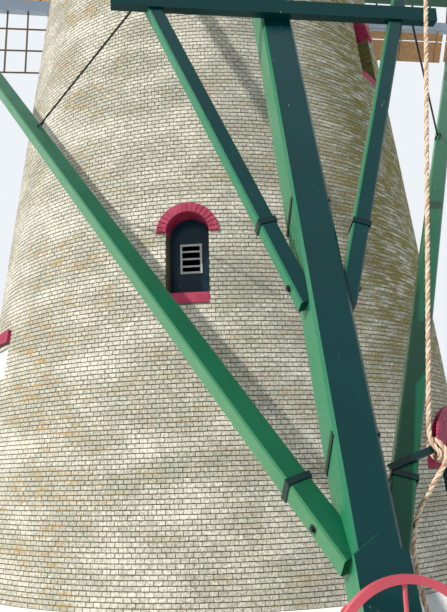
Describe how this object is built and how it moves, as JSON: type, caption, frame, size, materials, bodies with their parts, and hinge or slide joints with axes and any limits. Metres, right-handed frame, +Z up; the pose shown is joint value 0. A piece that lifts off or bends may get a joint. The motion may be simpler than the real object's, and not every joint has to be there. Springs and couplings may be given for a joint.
{
  "type": "tower windmill",
  "caption": "Whitewashed brick tower windmill with a turning cap, lattice sails, tail pole with braces and capstan, arched windows and a double door.",
  "frame": {"origin": "centre of the tower's base at ground level", "axes": "+Z up, -Y towards the tail pole, +Y towards the sails, +X to the right seen from the tail"},
  "size_m": [25, 15.6786, 26.2462],
  "materials": {
    "masonry": "lime-washed brick",
    "crimson_brick": "painted brick",
    "shutter_paint": "painted boards",
    "white_paint": "painted timber",
    "ironwork": "black iron",
    "stone": "worn stone",
    "bare_timber": "aged timber",
    "green_timber": "painted timber",
    "roof_shingles": "weathered shingles",
    "rope": "laid rope",
    "cast_iron": "painted iron",
    "stock_paint": "painted timber",
    "sail_lath": "aged timber",
    "sail_board": "bare boards",
    "wheel_paint": "painted iron"
  },
  "bodies": {
    "tower": {"wall_bay_1": "masonry", "wall_bay_2": "masonry", "wall_bay_3": "masonry", "wall_bay_4": "masonry", "wall_bay_5": "masonry", "wall_bay_6": "masonry", "wall_bay_7": "masonry", "wall_bay_8": "masonry", "wall_bay_9": "masonry", "wall_over_door": "masonry", "wall_above_door": "masonry", "door_jamb_left": "masonry", "door_jamb_right": "masonry", "brick_arches": "crimson_brick", "window_sills": "crimson_brick", "window_shutters": "shutter_paint", "shutter_vents": "white_paint", "door_thresholds": "stone", "door_pintles": "ironwork", "rear_door_leaves": "shutter_paint", "hatch_hood": "crimson_brick", "hatch_shutter": "white_paint", "ground_slab": "stone", "floor_boards": "bare_timber", "floor_joists": "bare_timber", "curb_ring": "bare_timber"},
    "cap": {"cap_ring": "bare_timber", "sheers": "bare_timber", "long_spruit": "green_timber", "eaves_frame": "bare_timber", "roof_left": "roof_shingles", "roof_right": "roof_shingles", "cap_gables": "green_timber", "short_spruit": "green_timber", "tail_beam": "green_timber", "shaft_bearings": "bare_timber", "brake_lever": "green_timber", "tail_pole": "green_timber", "short_braces": "green_timber", "long_braces": "green_timber", "tail_cross_beam": "green_timber", "hanger_rods": "ironwork", "iron_straps": "ironwork", "foot_board": "green_timber", "cleat_arm": "ironwork", "brake_rope": "rope"},
    "sails": {"windshaft": "cast_iron", "outer_stock": "stock_paint", "inner_stock": "stock_paint", "outer_sail_frames": "sail_lath", "inner_sail_frames": "sail_lath", "outer_sail_boards": "sail_board", "inner_sail_boards": "sail_board"},
    "capstan": {"capstan_wheel": "wheel_paint"},
    "door_leaf_left": {"door_leaf_left": "shutter_paint"},
    "door_leaf_right": {"door_leaf_right": "shutter_paint"}
  },
  "joints": [
    {"name": "cap_turn", "type": "hinge", "parent": "tower", "child": "cap", "pos_m": [0, 0, 12.33], "axis": [0, 0, 1], "continuous": true},
    {"name": "sail_turn", "type": "hinge", "parent": "cap", "child": "sails", "pos_m": [0, 4.15, 13.95], "axis": [0, 0.9848, 0.1736], "continuous": true},
    {"name": "capstan_turn", "type": "hinge", "parent": "cap", "child": "capstan", "pos_m": [0, -9.2, 0.545], "axis": [0, -1, 0], "continuous": true},
    {"name": "left_leaf_swing", "type": "hinge", "parent": "tower", "child": "door_leaf_left", "pos_m": [2.58088, -3.06394, 1], "axis": [0, 0, 1], "range_deg": [0, 90]},
    {"name": "right_leaf_swing", "type": "hinge", "parent": "tower", "child": "door_leaf_right", "pos_m": [3.67913, -1.58515, 1], "axis": [0, 0, -1], "range_deg": [0, 90]}
  ]
}
